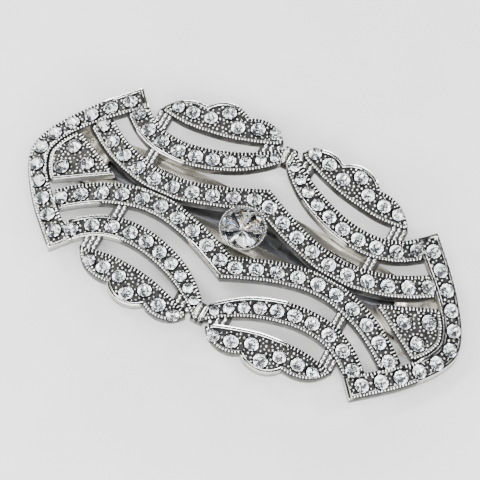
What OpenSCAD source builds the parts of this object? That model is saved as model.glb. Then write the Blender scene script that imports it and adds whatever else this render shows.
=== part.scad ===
// Openwork rhinestone hair clip: one arched cast front plate carries rows of
// small round stones and a large centre stone. A barrette fitting with a
// hinged clasp arm and a two-wing squeeze catch is riveted behind it.
// Millimetres, +Z up (stones up), X along the clip, Y across it.
// The clip rests on its clasp arm at Z = 0.

/* [Front plate] */
// Radius of the arch, measured at the tops of the rims
arch_r = 132; // [126:1:140]
// Height of the rim tops above the rest surface, at the middle
top_z = 13; // [13:0.1:13.6]
// Thickness of the plate, from its back to the rim tops
plate_t = 2.2; // [2:0.1:2.4]
// Depth of the stone beds below the rim tops
bed_d = 0.6; // [0.5:0.05:0.7]
// Scale of the plate's band widths
band_k = 1; // [0.97:0.01:1.03]

/* [Stones] */
// Diameter of the stones in the chevrons and the inner bands
stone_d = 2.7; // [2.4:0.1:2.8]
// Height of a small stone above its bed
stone_h = 0.95; // [0.8:0.05:1.05]
// Girdle diameter of the centre stone
center_d = 8.1; // [7.8:0.1:8.2]
// Height of the centre stone's girdle above the rim tops
center_lift = 1.1; // [0.9:0.1:1.3]

/* [Barrette fitting] */
// Distance of the fitting's middle line above the clip's long axis
fit_y = 2.5; // [2.2:0.1:2.8]
// Width of the base strip
base_w = 10; // [9.6:0.2:10.4]
// Thickness of the base strip
base_t = 0.8; // [0.7:0.05:0.9]
// Width of the clasp arm
arm_w = 7.4; // [7.2:0.1:7.6]
// Thickness of the clasp arm
arm_t = 0.8; // [0.7:0.1:0.9]
// Width of the tension bow
bow_w = 4.6; // [4:0.2:4.8]
// Thickness of the tension bow
bow_t = 0.35; // [0.3:0.05:0.4]
// Diameter of the hinge pin
pin_d = 1.2; // [1:0.1:1.3]
// Diameter of the four posts that hold the base strip to the plate
post_d = 1.6; // [1.4:0.1:1.8]

/* [Hidden] */
e = 0.01;
zc = top_z - arch_r;              // height of the arch's axis
r_bed = arch_r - bed_d;           // stone bed
r_back = arch_r - plate_t;        // back of the plate
r_base = r_back - base_t;         // underside of the base strip
hx = -35.5;                       // hinge axis, X
hz = 2.4;                         // hinge axis, Z
wy = 1.9;                         // wing pivots, from the fitting's middle
wz = 3.6;                         // wing pivots, Z
cx = -0.6;                        // centre stone, X
cy = 0.2;                         // centre stone, Y

// Centre lines of the bands in the +X +Y quarter: [x, y, half width].
CHEVRON = [[28.6, 16.4, 2.15], [32, 13.3, 2.05], [35.2, 10.2, 1.95],
           [38, 7, 1.8], [40.3, 3.6, 1.75], [41.4, 0, 1.8], [40.3, -3.6, 1.75]];
INNER = [[-2.4, 8.5, 2.15], [0, 7.35, 2.15], [3.5, 5.75, 2.15],
         [7.2, 4.25, 2.1], [11, 3.05, 2.1], [14.6, 2.25, 2.15],
         [18.4, 2.1, 2.15], [22, 2.7, 2.15], [26.2, 4.05, 2.15],
         [30.2, 6.15, 2.15], [33.8, 8.7, 2.1]];
OUTER = [[-0.8, 18.3, 1.1], [0.8, 16.9, 1.25], [3, 14.75, 1.6],
         [7, 12.1, 1.95], [11.2, 10.35, 2.1], [15.2, 9.35, 2.15],
         [19.2, 9.1, 2.15], [23, 9.8, 2.1], [26.2, 11.4, 2.05],
         [29.4, 14, 2]];
// Stones of one leaf: [x, y, diameter].
LEAF_STONES = [[22.2, 17, 2.3], [19.3, 17.1, 2.6], [15.9, 17.5, 2.5],
               [13.3, 19.8, 2.7], [10.6, 17.9, 2.6], [7.2, 19.2, 2.7],
               [4, 19.8, 2.4]];
// Stones of one end panel.
PANEL_STONES = [[35.9, 2.3, 2.9], [35.9, -2.3, 2.9], [32, 0, 2.9]];

// ---- curves ----
function cr(a, b, c, d, t) =
    0.5 * (2 * b + (c - a) * t + (2 * a - 5 * b + 4 * c - d) * t * t
           + (3 * b - a - 3 * c + d) * t * t * t);
function curve(P, n) = [
    for (i = [0 : len(P) - 2]) for (j = [0 : n - 1])
        cr(P[max(i - 1, 0)], P[i], P[i + 1], P[min(i + 2, len(P) - 1)], j / n),
    P[len(P) - 1]];
function along(C, i) =
    let (v = C[min(i + 1, len(C) - 1)] - C[max(i - 1, 0)])
    [v.x, v.y] / norm([v.x, v.y]);
function side(C, i, s) =
    let (u = along(C, i)) [C[i].x, C[i].y] + s * band_k * C[i].z * [-u.y, u.x];
function ribbon(C) = concat(
    [for (i = [0 : len(C) - 1]) side(C, i, 1)],
    [for (i = [len(C) - 1 : -1 : 0]) side(C, i, -1)]);
// length along a curve up to its point i
function run(C) = [for (i = 0, s = 0; i < len(C);
    s = s + (i < len(C) - 1 ? norm([C[i + 1].x - C[i].x, C[i + 1].y - C[i].y]) : 0),
    i = i + 1) s];
function at(C, L, s, i = 1) =
    i >= len(C) - 1 || L[i] >= s
    ? let (k = (s - L[i - 1]) / (L[i] - L[i - 1])) C[i - 1] + k * (C[i] - C[i - 1])
    : at(C, L, s, i + 1);
// points on a circular lobe from a to b that rises by h to the right of a-b
function lobe(a, b, h, n) =
    let (m = (a + b) / 2, c = norm(b - a) / 2, u = (b - a) / (2 * c),
         w = [u.y, -u.x], r = (c * c + h * h) / (2 * h), o = m + (h - r) * w,
         g = asin(c / r))
    [for (i = [0 : n]) let (t = -g + 2 * g * i / n)
        o + r * (cos(t) * w + sin(t) * u)];

CH = curve(CHEVRON, 4);
IN = curve(INNER, 4);
OU = curve(OUTER, 4);

// ---- plan of the plate ----
module quarter() {
    intersection() {
        union() {
            polygon(ribbon(CH));
            polygon(ribbon(IN));
        }
        translate([0, -0.05]) square([60, 40]);
    }
    intersection() {
        polygon(ribbon(OU));
        translate([0.35, 0]) square([60, 40]);
    }
    // leaf with three lobes
    polygon(concat(
        lobe([25.1, 15.3], [17.5, 19.4], 1.5, 7),
        lobe([17.5, 19.4], [9.6, 20.5], 1.85, 7),
        lobe([9.6, 20.5], [1.9, 18.9], 1.7, 7),
        [for (p = curve([[3, 17.9, 0], [7.2, 16.35, 0], [11.6, 15.1, 0],
                         [17.3, 14.4, 0], [21, 14.5, 0], [25.1, 15.3, 0]], 3))
            [p.x, p.y]]));
    // half of the end panel
    polygon([[26.3, -0.05], [26.3, 0.05], [36.2, 5.4], [38.6, 4.8], [41, -0.05]]);
    // webs between the bands
    polygon([[22.3, 11], [25.2, 12], [25.2, 15.4], [22.3, 14.7]]);
    polygon([[1.2, 16], [5.4, 14.6], [5.4, 17.1], [2.4, 18.4]]);
    translate([21, 4.6]) square([2.4, 3.4]);
}
module plan() {
    offset(delta = 0.001) {
        for (a = [0, 1]) for (b = [0, 1])
            mirror([a, 0]) mirror([0, b]) quarter();
        // junction blocks and the seat bar under the centre stone
        for (b = [-1, 1]) translate([-1.2, b > 0 ? 15.1 : -18.8]) square([2.4, 3.7]);
    }
}

// ---- arch helpers ----
module drum(r, w = 60) {
    translate([0, w / 2, zc]) rotate([90, 0, 0]) cylinder(r = r, h = w, $fn = 720);
}
module onarch(x, y, r) {
    translate([0, y, zc]) rotate([0, asin(x / r), 0]) translate([0, 0, r]) children();
}
module posts(r_lo, r_hi) {
    intersection() {
        union() {
            for (s = [-1, 1]) {
                translate([s * 30.6, 6.4, 0]) cylinder(d = post_d, h = 20, $fn = 32);
                translate([s * 33, -0.9, 0]) cylinder(d = post_d, h = 20, $fn = 32);
            }
        }
        difference() { drum(r_hi); drum(r_lo, 62); }
    }
}

module front_casting() color([0.72, 0.72, 0.71]) {
    difference() {
        intersection() {
            translate([0, 0, 2]) linear_extrude(height = 12) plan();
            drum(r_bed);
        }
        drum(r_back, 62);
        posts(r_back - 1, r_back + 1);
    }
    intersection() {
        translate([cx - 1.1, -4.9, 10]) cube([2.2, 9.8, 4]);
        difference() { drum(r_back + 0.5); drum(r_back, 62); }
    }
}

module small_stone(d) {
    h = stone_h;
    rotate_extrude($fn = 24) polygon([[0, 0], [0.3 * d, 0], [0.5 * d, 0.4 * h],
        [0.5 * d, 0.52 * h], [0.3 * d, h], [0, h]]);
}
module stone_row(C, s0, s1, n, d0, d1) {
    L = run(C);
    for (i = [0 : n - 1]) {
        p = at(C, L, s0 + (s1 - s0) * i / (n - 1));
        d = d0 + (d1 - d0) * i / (n - 1);
        for (a = [-1, 1]) for (b = [-1, 1])
            onarch(a * p.x, b * p.y, r_bed) small_stone(d);
    }
}
module chevron_stones() color([0.93, 0.95, 0.97]) {
    L = run(CH);
    // arm stones, then the one at each vertex
    for (i = [0 : 4]) {
        p = at(CH, L, 2.9 + i * 3.67);
        for (a = [-1, 1]) for (b = [-1, 1])
            onarch(a * p.x, b * p.y, r_bed) small_stone(stone_d);
    }
    for (a = [-1, 1]) onarch(a * 41.35, 0, r_bed) small_stone(stone_d);
}
module outer_band_stones() color([0.93, 0.95, 0.97])
    for (i = [0 : 9]) {
        L = run(OU);
        s = L[len(L) - 1] - 1.7;
        // spacing closes up as the band narrows towards the middle
        k = i / 9;
        p = at(OU, L, s - (s - 3.9) * (1.22 * k - 0.22 * k * k));
        for (a = [-1, 1]) for (b = [-1, 1])
            onarch(a * p.x, b * p.y, r_bed)
                small_stone(min(stone_d, stone_d + 0.25 - 1.15 * k * k));
    }
module inner_band_stones() color([0.93, 0.95, 0.97])
    stone_row(IN, 4.35, 37.9, 10, stone_d, stone_d);
module leaf_stones() color([0.93, 0.95, 0.97])
    for (q = LEAF_STONES) for (a = [-1, 1]) for (b = [-1, 1])
        onarch(a * q.x, b * q.y, r_bed) small_stone(q.z);
module end_panel_stones() color([0.93, 0.95, 0.97])
    for (q = PANEL_STONES) for (a = [-1, 1])
        onarch(a * q.x, q.y, r_bed) small_stone(q.z);

module center_collet() color([0.75, 0.75, 0.74])
    translate([cx, cy, 0]) {
        z0 = zc + r_back + 0.5;
        z1 = top_z + center_lift;
        r1 = center_d / 2 + 0.25;
        rotate_extrude($fn = 64) polygon([[2.5, z0], [3.15, z0], [r1, z1],
            [r1, z1 + 0.3], [r1 - 0.2, z1 + 0.3], [r1 - 0.2, z1], [r1 - 0.6, z1]]);
    }
module center_stone() color([0.9, 0.94, 0.98])
    translate([cx, cy, top_z + center_lift]) {
        r = center_d / 2;
        rotate_extrude($fn = 64) polygon([[0, -2.6], [r - 0.45, 0], [r, 0], [r, 0.3],
            [0.58 * r, 1.3], [0, 1.3]]);
    }

// ---- barrette fitting ----
module rounded(l, w, r) {
    union() {
        translate([-l / 2 + r, -w / 2]) square([l - 2 * r, w]);
        translate([-l / 2, -w / 2 + r]) square([l, w - 2 * r]);
        for (a = [-1, 1]) for (b = [-1, 1])
            translate([a * (l / 2 - r), b * (w / 2 - r)]) circle(r = r, $fn = 32);
    }
}
module base_strip() color([0.7, 0.69, 0.66])
    difference() {
        union() {
            intersection() {
                translate([0, fit_y, 0]) linear_extrude(height = 14) rounded(76, base_w, 2);
                difference() { drum(r_back); drum(r_base, 62); }
            }
            // hinge ears
            intersection() {
                for (s = [-1, 1]) translate([hx, fit_y + s * 4.3 + 0.4, 0]) {
                    translate([0, 0, hz]) rotate([90, 0, 0]) cylinder(r = 1.5, h = 0.8, $fn = 48);
                    translate([-1.5, -0.8, hz]) cube([3, 0.8, 4]);
                }
                drum(r_base + 0.3);
            }
        }
        // long window
        translate([0, fit_y, 0]) linear_extrude(height = 14) rounded(58, 5.6, 2.7);
        // holes for the posts, the rivets and the pin
        posts(r_base - 1, r_back + 1);
        for (s = [-1, 1]) translate([s * 30.5, fit_y, 0]) cylinder(d = 1.4, h = 14, $fn = 32);
        translate([34.8, fit_y, 0]) cylinder(d = 1.4, h = 14, $fn = 32);
        translate([hx, fit_y + 6, hz]) rotate([90, 0, 0]) cylinder(d = pin_d, h = 12, $fn = 32);
    }
module mounting_posts() color([0.6, 0.6, 0.58]) posts(r_base, r_back + 1);

bow_r = 233;
bow_z = 8.1;
module bow_shell(o) {
    translate([0, 30, bow_z - bow_r]) rotate([90, 0, 0]) cylinder(r = bow_r - o, h = 60, $fn = 720);
}
module tension_bow() color([0.62, 0.63, 0.64])
    difference() {
        intersection() {
            translate([0, fit_y, 0]) linear_extrude(height = 14) rounded(63, bow_w, 1.2);
            bow_shell(0);
        }
        bow_shell(bow_t);
        for (s = [-1, 1]) translate([s * 30.5, fit_y, 0]) cylinder(d = 1.4, h = 14, $fn = 32);
    }
module bow_rivets() color([0.6, 0.6, 0.58])
    for (s = [-1, 1]) intersection() {
        union() {
            translate([s * 30.5, fit_y, 5.3]) cylinder(d = 1.4, h = 4, $fn = 32);
            translate([s * 30.5, fit_y, 5.2]) cylinder(d = 2.3, h = 0.35, $fn = 32);
        }
        drum(r_back);
    }
module hinge_pin() color([0.6, 0.6, 0.58])
    translate([hx, fit_y + 5.1, hz]) rotate([90, 0, 0]) cylinder(d = pin_d, h = 10.2, $fn = 32);

arm_r = 256;
arm_z = 2;
module arm_shell(o, w = 60) {
    translate([0, w / 2, arm_z - arm_r]) rotate([90, 0, 0]) cylinder(r = arm_r + o, h = w, $fn = 720);
}
module clasp_arm() color([0.68, 0.67, 0.65])
    translate([0, fit_y, 0]) difference() {
        union() {
            intersection() {
                translate([-31.5, -arm_w / 2, 0]) cube([62.5, arm_w, 5]);
                difference() { arm_shell(arm_t); arm_shell(0, 62); }
            }
            // flat feet, the step and the raised tongue
            translate([-37, -arm_w / 2, 0]) cube([6.5, arm_w, 0.9]);
            translate([29.5, -arm_w / 2, 0]) cube([2.7, arm_w, 0.9]);
            translate([31.4, -arm_w / 2, 0]) cube([0.8, arm_w, 2.1]);
            translate([32.2 - e, -arm_w / 2, 1.3]) cube([5.4, arm_w, 0.8]);
            // knuckle lugs
            for (s = [-1, 1]) translate([hx, s * (arm_w / 2 - 0.35) + 0.35, 0]) {
                translate([0, 0, hz]) rotate([90, 0, 0]) cylinder(r = 1.3, h = 0.7, $fn = 48);
                translate([-1.3, -0.7, 0.4]) cube([2.6, 0.7, hz - 0.4]);
            }
        }
        translate([33, -2.55, 0]) cube([3.5, 5.1, 5]);
        translate([hx, 6, hz]) rotate([90, 0, 0]) cylinder(d = pin_d + 0.1, h = 12, $fn = 32);
    }

module catch_bracket() color([0.68, 0.67, 0.65])
    difference() {
        intersection() {
            translate([32.6, fit_y - 2.7, 2.9]) cube([4.4, 5.4, 5]);
            drum(r_base);
        }
        translate([33.2, fit_y - 3, 2]) cube([3.2, 6, 2.35]);
        translate([34.8, fit_y, 0]) cylinder(d = 1.4, h = 14, $fn = 32);
        for (s = [-1, 1]) translate([32, fit_y + s * wy, wz])
            rotate([0, 90, 0]) cylinder(d = 0.7, h = 6, $fn = 32);
    }
module catch_rivet() color([0.6, 0.6, 0.58])
    intersection() {
        union() {
            translate([34.8, fit_y, 4]) cylinder(d = 1.4, h = 4, $fn = 32);
            translate([34.8, fit_y, 3.9]) cylinder(d = 2.1, h = 0.45, $fn = 32);
        }
        drum(r_back);
    }
module wing_pins() color([0.6, 0.6, 0.58])
    for (s = [-1, 1]) translate([32.6, fit_y + s * wy, wz])
        rotate([0, 90, 0]) cylinder(d = 0.7, h = 4.4, $fn = 32);
module wing(s) {
    translate([33.4, fit_y, 0]) mirror([0, s > 0 ? 0 : 1, 0]) difference() {
        union() {
            translate([0, wy, wz]) rotate([0, 90, 0]) cylinder(r = 0.65, h = 2.8, $fn = 32);
            translate([0, wy - 0.3, 0.4]) cube([2.8, 0.6, wz - 0.4]);
            translate([0, wy + 0.2, 2.7]) cube([2.8, 4.3, 0.6]);
            translate([0, wy + 0.2, 0.4]) cube([2.8, 0.32, 0.7]);
        }
        translate([-1, wy, wz]) rotate([0, 90, 0]) cylinder(d = 0.8, h = 5, $fn = 32);
    }
}
module release_wing_upper() color([0.72, 0.71, 0.69]) wing(1);
module release_wing_lower() color([0.72, 0.71, 0.69]) wing(-1);

front_casting();
center_collet();
center_stone();
chevron_stones();
outer_band_stones();
inner_band_stones();
leaf_stones();
end_panel_stones();
base_strip();
mounting_posts();
tension_bow();
bow_rivets();
hinge_pin();
clasp_arm();
catch_bracket();
catch_rivet();
wing_pins();
release_wing_upper();
release_wing_lower();
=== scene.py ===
"""Openwork rhinestone hair clip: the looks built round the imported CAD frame."""

import math
import random

import bmesh
import bpy
import numpy as np
from mathutils import Matrix, Vector
from mathutils.geometry import delaunay_2d_cdt


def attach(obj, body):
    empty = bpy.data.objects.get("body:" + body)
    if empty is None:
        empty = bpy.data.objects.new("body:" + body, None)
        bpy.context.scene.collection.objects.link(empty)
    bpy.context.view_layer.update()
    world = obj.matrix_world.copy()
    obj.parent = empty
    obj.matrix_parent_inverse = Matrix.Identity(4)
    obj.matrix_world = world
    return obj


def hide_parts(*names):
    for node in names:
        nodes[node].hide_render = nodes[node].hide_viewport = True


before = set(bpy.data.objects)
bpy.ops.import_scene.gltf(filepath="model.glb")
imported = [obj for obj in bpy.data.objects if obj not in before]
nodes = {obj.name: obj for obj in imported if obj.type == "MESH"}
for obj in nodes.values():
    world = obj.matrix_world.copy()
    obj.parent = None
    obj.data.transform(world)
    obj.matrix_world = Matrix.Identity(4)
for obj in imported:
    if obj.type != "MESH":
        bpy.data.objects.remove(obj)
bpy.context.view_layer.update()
MM = 0.001

# ---------------------------------------------------------------- the arch
ZC = -119.0      # height of the arch's axis, mm
R_TOP = 132.0    # rim tops
R_BED = 131.4    # stone beds
R_BACK = 129.8   # back of the plate

CHEVRON = [[28.6, 16.4, 2.15], [32, 13.3, 2.05], [35.2, 10.2, 1.95],
           [38, 7, 1.8], [40.3, 3.6, 1.75], [41.4, 0, 1.8], [40.3, -3.6, 1.75]]
INNER = [[-2.4, 8.5, 2.15], [0, 7.35, 2.15], [3.5, 5.75, 2.15],
         [7.2, 4.25, 2.1], [11, 3.05, 2.1], [14.6, 2.25, 2.15],
         [18.4, 2.1, 2.15], [22, 2.7, 2.15], [26.2, 4.05, 2.15],
         [30.2, 6.15, 2.15], [33.8, 8.7, 2.1]]
OUTER = [[-0.8, 18.3, 1.1], [0.8, 16.9, 1.25], [3, 14.75, 1.6],
         [7, 12.1, 1.95], [11.2, 10.35, 2.1], [15.2, 9.35, 2.15],
         [19.2, 9.1, 2.15], [23, 9.8, 2.1], [26.2, 11.4, 2.05],
         [29.4, 14, 2]]
LEAF_INNER = [[3, 17.9, 0], [7.2, 16.35, 0], [11.6, 15.1, 0], [17.3, 14.4, 0],
              [21, 14.5, 0], [25.1, 15.3, 0]]
WEBS = [[[22.3, 11], [25.2, 12], [25.2, 15.4], [22.3, 14.7]],
        [[1.2, 16], [5.4, 14.6], [5.4, 17.1], [2.4, 18.4]],
        [[21, 4.6], [23.4, 4.6], [23.4, 8], [21, 8]],
        [[-1.2, 15.1], [1.2, 15.1], [1.2, 18.8], [-1.2, 18.8]]]
GROOVE = 0.2     # width of the dark groove where two panels meet


def catmull(points, n):
    p = np.array(points, float)
    out = []
    for i in range(len(p) - 1):
        a, b = p[max(i - 1, 0)], p[i]
        c, d = p[i + 1], p[min(i + 2, len(p) - 1)]
        for j in range(n):
            t = j / n
            out.append(0.5 * (2 * b + (c - a) * t + (2 * a - 5 * b + 4 * c - d) * t * t
                              + (3 * b - a - 3 * c + d) * t ** 3))
    out.append(p[-1])
    return np.array(out)


def sides(c):
    xy = c[:, :2]
    t = np.zeros_like(xy)
    t[1:-1] = xy[2:] - xy[:-2]
    t[0], t[-1] = xy[1] - xy[0], xy[-1] - xy[-2]
    t /= np.linalg.norm(t, axis=1)[:, None]
    n = np.stack([-t[:, 1], t[:, 0]], 1)
    return xy + n * c[:, 2:3], xy - n * c[:, 2:3]


def lobe(a, b, h, n):
    a, b = np.array(a, float), np.array(b, float)
    m, c = (a + b) / 2, np.linalg.norm(b - a) / 2
    u = (b - a) / (2 * c)
    w = np.array([u[1], -u[0]])
    r = (c * c + h * h) / (2 * h)
    o = m + (h - r) * w
    g = math.asin(c / r)
    ts = np.linspace(-g, g, n + 1)
    return o + r * (np.cos(ts)[:, None] * w + np.sin(ts)[:, None] * u)


def clip_line(line, axis, at):
    """The part of an open polyline with coordinate >= at."""
    out = []
    for p, q in zip(line[:-1], line[1:]):
        a, b = p[axis] >= at, q[axis] >= at
        if a:
            out.append(p)
        if a != b:
            k = (at - p[axis]) / (q[axis] - p[axis])
            out.append(p + k * (q - p))
    if line[-1][axis] >= at:
        out.append(line[-1])
    return np.array(out)


def flip(line, axis):
    out = np.array(line, float).copy()
    out[:, axis] *= -1
    return out


def closed(poly):
    return np.vstack([poly, poly[:1]])


# ---------------------------------------------------------------- distance fields
STEP = 0.12
NX, NY = 366, 190
gx, gy = np.meshgrid(np.arange(NX + 1) * STEP, np.arange(NY + 1) * STEP, indexing="ij")


def line_distance(lines):
    best = np.full(gx.shape, 1e9)
    for line in lines:
        for p, q in zip(line[:-1], line[1:]):
            d = q - p
            l2 = float(d @ d)
            if l2 < 1e-12:
                continue
            t = np.clip(((gx - p[0]) * d[0] + (gy - p[1]) * d[1]) / l2, 0, 1)
            np.minimum(best, (gx - p[0] - t * d[0]) ** 2 + (gy - p[1] - t * d[1]) ** 2, out=best)
    return np.sqrt(best)


def inside(poly):
    hit = np.zeros(gx.shape, bool)
    q = closed(np.array(poly, float))
    for a, b in zip(q[:-1], q[1:]):
        if a[1] == b[1]:
            continue
        cross = (a[1] > gy) != (b[1] > gy)
        xs = a[0] + (gy - a[1]) * (b[0] - a[0]) / (b[1] - a[1])
        hit ^= cross & (gx < xs)
    return hit


def field(poly, lines=None):
    """Signed distance, negative inside."""
    d = line_distance(lines if lines is not None else [closed(np.array(poly, float))])
    return np.where(inside(poly), -d, d)


def ribbon(points, mirror_axis=None, at=0.0, n=12):
    left, right = sides(catmull(points, n))
    poly = np.vstack([left, right[::-1]])
    if mirror_axis is None:
        return field(poly)
    kept = [clip_line(left, mirror_axis, at), clip_line(right, mirror_axis, at)]
    caps = [np.array([left[0], right[0]]), np.array([left[-1], right[-1]])]
    caps = [c for c in caps if min(c[:, mirror_axis]) >= at]
    lines = kept + caps
    return field(poly, lines + [flip(l, mirror_axis) for l in lines])


leaf_poly = np.vstack([lobe((25.1, 15.3), (17.5, 19.4), 1.5, 16),
                       lobe((17.5, 19.4), (9.6, 20.5), 1.85, 16),
                       lobe((9.6, 20.5), (1.9, 18.9), 1.7, 16),
                       catmull(LEAF_INNER, 8)[:, :2]])
f_chevron = ribbon(CHEVRON, 1)
f_panel = field([(26.3, 0), (36.2, 5.4), (38.6, 4.8), (41, 0), (38.6, -4.8), (36.2, -5.4)])
f_leaf = field(leaf_poly)
f_inner = ribbon(INNER, 0)
f_outer = np.maximum(ribbon(OUTER), 0.35 - gx)
f_web = np.minimum.reduce([field(w) for w in WEBS])

f_union = np.minimum.reduce([f_chevron, f_panel, f_leaf, f_inner, f_outer, f_web])
e_chevron = f_chevron
e_panel = np.maximum(f_panel, GROOVE - f_chevron)
e_leaf = f_leaf
e_inner = np.maximum.reduce([f_inner, GROOVE - f_chevron, GROOVE - f_panel, GROOVE / 2 - gy])
e_outer = np.maximum.reduce([f_outer, GROOVE - f_chevron, GROOVE - f_leaf, GROOVE - f_inner])
stack = -np.stack([e_chevron, e_panel, e_leaf, e_inner, e_outer])
ranked = np.sort(stack, axis=0)
near_q = ranked[-1]


def whole(q):
    """A quarter field mirrored to the whole plate."""
    right = np.concatenate([q[:, :0:-1], q], axis=1)
    return np.concatenate([right[:0:-1], right], axis=0)


D = whole(near_q)
U = whole(f_union)
PANEL = whole(np.argmax(stack, axis=0))      # 0 chevron, 1 end panel, 2 leaf, 3 inner band, 4 outer band


def sample(f, x, y):
    u = np.clip(np.asarray(x, float) / STEP + NX, 0, 2 * NX - 1e-6)
    v = np.clip(np.asarray(y, float) / STEP + NY, 0, 2 * NY - 1e-6)
    i, j = u.astype(int), v.astype(int)
    a, b = u - i, v - j
    return ((1 - a) * (1 - b) * f[i, j] + a * (1 - b) * f[i + 1, j]
            + (1 - a) * b * f[i, j + 1] + a * b * f[i + 1, j + 1])


def panel_at(x, y):
    i = np.clip(np.round(np.asarray(x, float) / STEP).astype(int) + NX, 0, 2 * NX)
    j = np.clip(np.round(np.asarray(y, float) / STEP).astype(int) + NY, 0, 2 * NY)
    return PANEL[i, j]


def uphill(f, x, y, h=0.08):
    g = np.stack([sample(f, x + h, y) - sample(f, x - h, y),
                  sample(f, x, y + h) - sample(f, x, y - h)], -1)
    return g / np.maximum(np.linalg.norm(g, axis=-1, keepdims=True), 1e-9)


PAIRS = {1: [(3, 0)], 2: [(0, 1)], 3: [(3, 1)], 4: [(1, 2)], 6: [(0, 2)], 7: [(3, 2)],
         8: [(2, 3)], 9: [(0, 2)], 11: [(1, 2)], 12: [(1, 3)], 13: [(0, 1)], 14: [(0, 3)]}


def contours(f, level):
    """Level lines of a grid field as polylines, each (points, is_closed)."""
    s = f > level
    code = s[:-1, :-1] * 1 + s[1:, :-1] * 2 + s[1:, 1:] * 4 + s[:-1, 1:] * 8
    ii, jj = np.nonzero((code > 0) & (code < 15))
    links, where = {}, {}

    def point(key):
        if key not in where:
            i, j, way = key
            i2, j2 = (i + 1, j) if way == 0 else (i, j + 1)
            a, b = f[i, j], f[i2, j2]
            k = (level - a) / (b - a)
            where[key] = ((i + k * (i2 - i) - NX) * STEP, (j + k * (j2 - j) - NY) * STEP)
        return key

    for i, j in zip(ii.tolist(), jj.tolist()):
        c = int(code[i, j])
        if c in (5, 10):
            mid = f[i:i + 2, j:j + 2].mean() > level
            pairs = [(0, 1), (2, 3)] if mid == (c == 5) else [(3, 0), (1, 2)]
        else:
            pairs = PAIRS[c]
        keys = ((i, j, 0), (i + 1, j, 1), (i, j + 1, 0), (i, j, 1))
        for a, b in pairs:
            a, b = point(keys[a]), point(keys[b])
            links.setdefault(a, []).append(b)
            links.setdefault(b, []).append(a)
    out, seen = [], set()
    ends = [k for k, v in links.items() if len(v) == 1]
    for start in ends + list(links):
        if start in seen:
            continue
        path, here, last = [start], start, None
        seen.add(start)
        while True:
            nxt = [k for k in links[here] if k != last and k not in seen]
            if not nxt:
                break
            last, here = here, nxt[0]
            seen.add(here)
            path.append(here)
        loop = len(path) > 2 and start in links[path[-1]]
        out.append((np.array([where[k] for k in path]), loop))
    return [c for c in out if len(c[0]) > 3]


def thin(points, tol):
    """Fewest points of a polyline that stay within tol of it."""
    keep = np.zeros(len(points), bool)
    keep[0] = keep[-1] = True
    todo = [(0, len(points) - 1)]
    while todo:
        a, b = todo.pop()
        if b - a < 2:
            continue
        p, q = points[a], points[b]
        d = q - p
        l = np.linalg.norm(d)
        m = points[a + 1:b] - p
        dist = np.abs(m[:, 0] * d[1] - m[:, 1] * d[0]) / l if l > 1e-9 else np.linalg.norm(m, axis=1)
        k = int(np.argmax(dist))
        if dist[k] > tol or l > 1.4:
            k = k if dist[k] > tol else (b - a) // 2 - 1
            keep[a + 1 + k] = True
            todo += [(a, a + 1 + k), (a + 1 + k, b)]
    return points[keep]


def thin_loop(points, loop, tol=0.006):
    if not loop:
        return thin(points, tol)
    far = int(np.argmax(np.linalg.norm(points - points[0], axis=1)))
    one = thin(points[:far + 1], tol)
    two = thin(np.vstack([points[far:], points[:1]]), tol)
    return np.vstack([one[:-1], two[:-1]])


# ---------------------------------------------------------------- stones as the CAD places them
def islands(node):
    """Centre (x, y, z) and diameter of each solid of a CAD node, mm."""
    me = nodes[node].data
    co = np.zeros(len(me.vertices) * 3)
    me.vertices.foreach_get("co", co)
    co = co.reshape(-1, 3) * 1000
    key, back = np.unique(np.round(co, 4), axis=0, return_inverse=True)
    back = back.ravel()
    label = np.arange(len(key))
    ed = np.zeros(len(me.edges) * 2, int)
    me.edges.foreach_get("vertices", ed)
    ed = back[ed.reshape(-1, 2)]
    while True:
        low = np.minimum(label[ed[:, 0]], label[ed[:, 1]])
        new = label.copy()
        np.minimum.at(new, ed[:, 0], low)
        np.minimum.at(new, ed[:, 1], low)
        new = new[new]
        if (new == label).all():
            break
        label = new
    out = []
    for l in np.unique(label):
        p = key[label == l]
        lo, hi = p.min(0), p.max(0)
        n = np.array([(lo[0] + hi[0]) / 2, 0, (lo[2] + hi[2]) / 2 - ZC])
        n /= np.linalg.norm(n)
        out.append((float(n[0] * (R_BED + 0.45)), float((lo[1] + hi[1]) / 2), float(hi[1] - lo[1])))
    return sorted(out)


GROUPS = ["chevron_stones", "outer_band_stones", "inner_band_stones", "leaf_stones",
          "end_panel_stones"]
STONES = {g: islands(g) for g in GROUPS}
ALL_STONES = np.array([s for g in GROUPS for s in STONES[g]])


def arch_frame(x, r):
    """Point height and normal of the arch at x for radius r."""
    return ZC + np.sqrt(r * r - x * x), np.stack([x / r, 0 * x, np.sqrt(1 - (x / r) ** 2)], -1)


# ---------------------------------------------------------------- node materials
def new_material(name):
    m = bpy.data.materials.new(name)
    m.use_nodes = True
    t = m.node_tree
    t.nodes.clear()
    out = t.nodes.new("ShaderNodeOutputMaterial")
    b = t.nodes.new("ShaderNodeBsdfPrincipled")
    t.links.new(b.outputs[0], out.inputs[0])
    return m, t, b


def coords(t, scale=(1, 1, 1)):
    tc = t.nodes.new("ShaderNodeTexCoord")
    mp = t.nodes.new("ShaderNodeMapping")
    mp.inputs["Scale"].default_value = scale
    t.links.new(tc.outputs["Object"], mp.inputs["Vector"])
    return mp.outputs["Vector"]


def noise(t, vec, scale, detail=3.0, rough=0.55):
    n = t.nodes.new("ShaderNodeTexNoise")
    n.inputs["Scale"].default_value = scale
    n.inputs["Detail"].default_value = detail
    n.inputs["Roughness"].default_value = rough
    t.links.new(vec, n.inputs["Vector"])
    return n.outputs["Fac"]


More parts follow.
